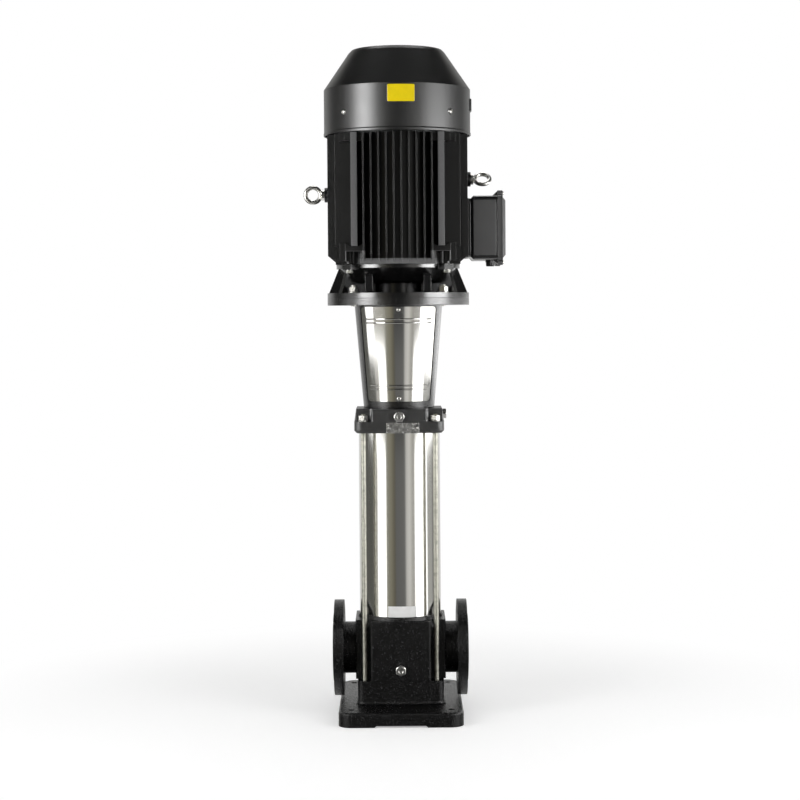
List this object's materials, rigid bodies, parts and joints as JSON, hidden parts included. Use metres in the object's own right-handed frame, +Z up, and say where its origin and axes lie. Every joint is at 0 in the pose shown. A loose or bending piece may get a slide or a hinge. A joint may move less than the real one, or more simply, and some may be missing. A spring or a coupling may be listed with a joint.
{
  "type": "vertical multistage pump",
  "caption": "Vertical in-line multistage pump with flanged side ports, stainless sleeve, split coupling behind guards and a finned flange motor on top.",
  "frame": {"origin": "middle of the foot's underside, on the shaft axis, in the centre of the four foot holes", "axes": "+Z up along the shaft, +X towards the discharge port and the terminal box, -Y towards the viewer of the picture"},
  "size_m": [0.566, 0.472, 1.8664],
  "materials": {
    "cast_black": "black paint on rough sand-cast iron",
    "stainless_sheet": "bright drawn stainless sheet",
    "seal_rubber": "matt",
    "bright_steel": "bright zinc plated",
    "machined_steel": "ground",
    "carbide": "lapped",
    "ductile_iron": "machined",
    "motor_black": "semi-gloss black paint",
    "cover_black": "satin black paint",
    "lamination": "stacked sheet",
    "copper": "varnished winding",
    "fan_plastic": "moulded",
    "terminal_plastic": "moulded"
  },
  "bodies": {
    "pump": {"pump_base": "cast_black", "drain_plug": "bright_steel", "outer_sleeve": "stainless_sheet", "sleeve_rings": "seal_rubber", "pump_head": "cast_black", "vent_plug": "bright_steel", "side_plug": "bright_steel", "staybolts": "bright_steel", "staybolt_washers": "bright_steel", "staybolt_nuts": "bright_steel", "inlet_plate": "stainless_sheet", "stage_chamber_1": "stainless_sheet", "stage_chamber_2": "stainless_sheet", "stage_chamber_3": "stainless_sheet", "discharge_ring": "stainless_sheet", "journal_bushes": "carbide", "seal_gland": "machined_steel", "seal_gland_screws": "bright_steel", "seal_seat": "carbide", "motor_stool": "cast_black", "stool_screws": "bright_steel", "coupling_guard_front": "stainless_sheet", "coupling_guard_rear": "stainless_sheet", "guard_screws": "bright_steel", "drive_end_shield": "motor_black", "motor_studs": "bright_steel", "motor_nuts": "bright_steel", "motor_frame": "motor_black", "end_shield_bolts": "bright_steel", "lifting_eyebolts": "bright_steel", "drive_bearing_outer": "machined_steel", "fan_bearing_outer": "machined_steel", "stator_core": "lamination", "stator_windings": "copper", "fan_end_shield": "motor_black", "fan_cover": "cover_black", "fan_cover_screws": "bright_steel", "terminal_box": "motor_black", "terminal_lid": "motor_black", "lid_screws": "bright_steel", "terminal_block": "terminal_plastic", "cable_gland": "terminal_plastic"},
    "rotor": {"impeller_1": "stainless_sheet", "impeller_2": "stainless_sheet", "impeller_3": "stainless_sheet", "seal_face": "carbide", "pump_shaft": "machined_steel", "shaft_nut": "machined_steel", "shaft_spacers": "stainless_sheet", "coupling_half_front": "ductile_iron", "coupling_half_rear": "ductile_iron", "coupling_bolts": "bright_steel", "motor_shaft": "machined_steel", "rotor_core": "lamination", "drive_bearing_inner": "machined_steel", "fan_bearing_inner": "machined_steel", "cooling_fan": "fan_plastic"},
    "drive_ball_set": {"drive_bearing_balls": "machined_steel"},
    "fan_ball_set": {"fan_bearing_balls": "machined_steel"}
  },
  "joints": [
    {"name": "shaft_spin", "type": "hinge", "parent": "pump", "child": "rotor", "pos_m": [0, 0, 1], "axis": [0, 0, 1], "continuous": true},
    {"name": "drive_balls_orbit", "type": "hinge", "parent": "pump", "child": "drive_ball_set", "pos_m": [0, 0, 1.212], "axis": [0, 0, 1], "continuous": true},
    {"name": "fan_balls_orbit", "type": "hinge", "parent": "pump", "child": "fan_ball_set", "pos_m": [0, 0, 1.6115], "axis": [0, 0, 1], "continuous": true}
  ],
  "couplings": [
    {"joint": "drive_balls_orbit", "follows": "shaft_spin", "ratio": 0.383},
    {"joint": "fan_balls_orbit", "follows": "shaft_spin", "ratio": 0.407}
  ]
}
